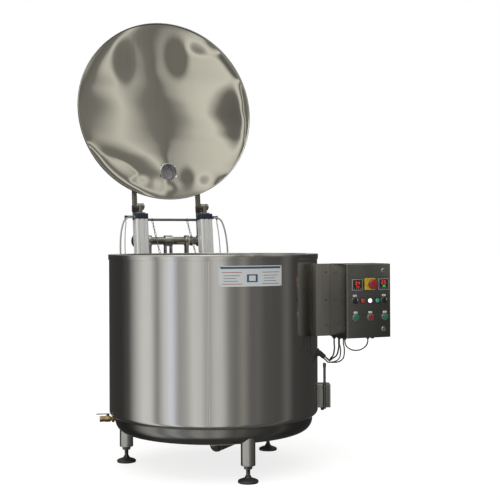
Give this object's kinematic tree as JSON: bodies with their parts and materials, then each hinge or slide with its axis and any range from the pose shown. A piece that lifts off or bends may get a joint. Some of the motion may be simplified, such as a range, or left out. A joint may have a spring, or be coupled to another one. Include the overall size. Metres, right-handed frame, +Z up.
{
  "type": "milk cooling tank",
  "caption": "Insulated open-top steel milk vat on adjustable legs with an air-lifted hinged lid, bottom outlet valve and a cooling control box",
  "frame": {"origin": "on the floor under the middle of the bounding box", "axes": "+Z up, +Y towards the lid hinge at the back, +X towards the control box at the right; metres"},
  "size_m": [1.0922, 1.1292, 1.9757],
  "materials": {
    "satin_steel": "vertically brushed satin stainless steel",
    "polished_steel": "mirror-polished thin stainless sheet",
    "chromed_rod": "hard chrome",
    "anodised_aluminium": "clear anodised extrusion, blue painted end caps",
    "box_steel": "dark satin stainless steel",
    "zinc_plate": "bright zinc plate",
    "brass": "dull brass",
    "black_rubber": "moulded rubber",
    "foot_rubber": "rubber pad moulded on a steel stem",
    "black_plastic": "black moulded plastic",
    "insulation": "rigid foam",
    "label_white": "satin printed film",
    "grey_hose": "smooth polyurethane hose",
    "cable_sheath": "smooth black sheath",
    "yellow_plate": "yellow surround plate",
    "red_plastic": "moulded red plastic",
    "green_plastic": "moulded green plastic",
    "lamp_lens": "coloured lamp lenses"
  },
  "bodies": {
    "root": {"outer_jacket": "satin_steel", "bottom_dish": "satin_steel", "inner_vessel": "satin_steel", "insulation_foam": "insulation", "top_rim": "satin_steel", "label_plate": "label_white", "outlet_pipe": "satin_steel", "outlet_valve_body": "satin_steel", "leg_tube_1": "satin_steel", "leg_tube_2": "satin_steel", "leg_tube_3": "satin_steel", "hinge_frame": "satin_steel", "safety_chain_left": "zinc_plate", "safety_chain_right": "zinc_plate", "cylinder_bracket_left": "satin_steel", "cylinder_bracket_right": "satin_steel", "control_box_housing": "box_steel", "control_box_bracket": "box_steel", "mounting_plate": "zinc_plate", "gland_strip": "black_plastic", "wall_grommet": "black_rubber", "terminal_box": "box_steel", "drain_valve": "brass", "power_cable_a": "cable_sheath", "power_cable_b": "cable_sheath", "signal_cable_a": "cable_sheath", "signal_cable_b": "cable_sheath", "loop_cable": "cable_sheath"},
    "outlet_valve": {"outlet_valve_disc": "satin_steel", "outlet_valve_handle": "satin_steel"},
    "lid": {"lid_panel": "polished_steel", "lid_arm_frame": "satin_steel"},
    "rods": {"piston_rod_left": "chromed_rod", "piston_rod_right": "chromed_rod"},
    "barrels": {"lift_cylinder_left": "anodised_aluminium", "lift_cylinder_right": "anodised_aluminium", "air_hose_left": "grey_hose", "air_hose_right": "grey_hose", "pilot_hose_left": "grey_hose", "pilot_hose_right": "grey_hose"},
    "door": {"control_box_door": "box_steel", "indicator_lamps": "lamp_lens", "temperature_controller_left": "black_plastic", "temperature_controller_right": "black_plastic", "emergency_stop_base": "yellow_plate"},
    "foot_1": {"levelling_foot_1": "foot_rubber", "foot_lock_nut_1": "satin_steel"},
    "foot_2": {"levelling_foot_2": "foot_rubber", "foot_lock_nut_2": "satin_steel"},
    "foot_3": {"levelling_foot_3": "foot_rubber", "foot_lock_nut_3": "satin_steel"},
    "door_lock_upper": {"door_lock_upper": "zinc_plate"},
    "door_lock_lower": {"door_lock_lower": "zinc_plate"},
    "emergency_stop_head": {"emergency_stop_head": "red_plastic"},
    "selector_left": {"selector_left": "black_plastic"},
    "selector_right": {"selector_right": "black_plastic"},
    "push_button_start": {"push_button_start": "green_plastic"},
    "push_button_stop": {"push_button_stop": "red_plastic"},
    "push_button_reset": {"push_button_reset": "green_plastic"},
    "drain_lever": {"drain_lever": "zinc_plate"}
  },
  "joints": [
    {"name": "lid_hinge", "type": "hinge", "parent": "root", "child": "lid", "pos_m": [-0.07193, 0.48839, 0.936], "axis": [1, 0, 0], "range_deg": [0, 96.4], "deforming": ["safety_chain_left", "safety_chain_right"]},
    {"name": "rod_swing", "type": "hinge", "parent": "root", "child": "rods", "pos_m": [-0.07193, 0.33539, 0.42], "axis": [1, 0, 0], "range_deg": [0, 6.99]},
    {"name": "barrel_slide", "type": "slide", "parent": "rods", "child": "barrels", "axis": [0, 0.1283, 0.9917], "range_m": [-0.2476, 0]},
    {"name": "outlet_valve_turn", "type": "hinge", "parent": "root", "child": "outlet_valve", "pos_m": [0.24768, 0.18202, 0.0665], "axis": [0, 0, 1], "range_deg": [0, 90]},
    {"name": "foot_1_level", "type": "slide", "parent": "root", "child": "foot_1", "axis": [0, 0, 1], "range_m": [-0.02, 0]},
    {"name": "foot_2_level", "type": "slide", "parent": "root", "child": "foot_2", "axis": [0, 0, 1], "range_m": [-0.02, 0]},
    {"name": "foot_3_level", "type": "slide", "parent": "root", "child": "foot_3", "axis": [0, 0, 1], "range_m": [-0.02, 0]},
    {"name": "door_hinge", "type": "hinge", "parent": "root", "child": "door", "pos_m": [0.34408, -0.51511, 0.6905], "axis": [0, 0, -1], "range_deg": [0, 115]},
    {"name": "door_lock_upper_turn", "type": "hinge", "parent": "door", "child": "door_lock_upper", "pos_m": [0.51258, -0.52661, 0.811], "axis": [0, 1, 0], "range_deg": [0, 90]},
    {"name": "door_lock_lower_turn", "type": "hinge", "parent": "door", "child": "door_lock_lower", "pos_m": [0.51258, -0.52661, 0.575], "axis": [0, 1, 0], "range_deg": [0, 90]},
    {"name": "emergency_stop_press", "type": "slide", "parent": "door", "child": "emergency_stop_head", "axis": [0, 1, 0], "range_m": [0, 0.005], "stiffness_N_per_m": 600, "springref_m": -0.002},
    {"name": "selector_left_turn", "type": "hinge", "parent": "door", "child": "selector_left", "pos_m": [0.38227, -0.52661, 0.6915], "axis": [0, 1, 0], "range_deg": [0, 90]},
    {"name": "selector_right_turn", "type": "hinge", "parent": "door", "child": "selector_right", "pos_m": [0.51428, -0.52661, 0.6915], "axis": [0, 1, 0], "range_deg": [0, 90]},
    {"name": "push_button_start_press", "type": "slide", "parent": "door", "child": "push_button_start", "axis": [0, 1, 0], "range_m": [0, 0.0035], "stiffness_N_per_m": 400, "springref_m": -0.002},
    {"name": "push_button_stop_press", "type": "slide", "parent": "door", "child": "push_button_stop", "axis": [0, 1, 0], "range_m": [0, 0.0035], "stiffness_N_per_m": 400, "springref_m": -0.002},
    {"name": "push_button_reset_press", "type": "slide", "parent": "door", "child": "push_button_reset", "axis": [0, 1, 0], "range_m": [0, 0.0035], "stiffness_N_per_m": 400, "springref_m": -0.002},
    {"name": "drain_lever_turn", "type": "hinge", "parent": "root", "child": "drain_lever", "pos_m": [-0.4979, -0.01247, 0.2188], "axis": [0, 0, 1], "range_deg": [0, 90]}
  ],
  "couplings": [
    {"joint": "rod_swing", "follows": "lid_hinge", "ratio": 0.07235},
    {"joint": "barrel_slide", "follows": "lid_hinge", "m_per_rad": -0.14676}
  ]
}
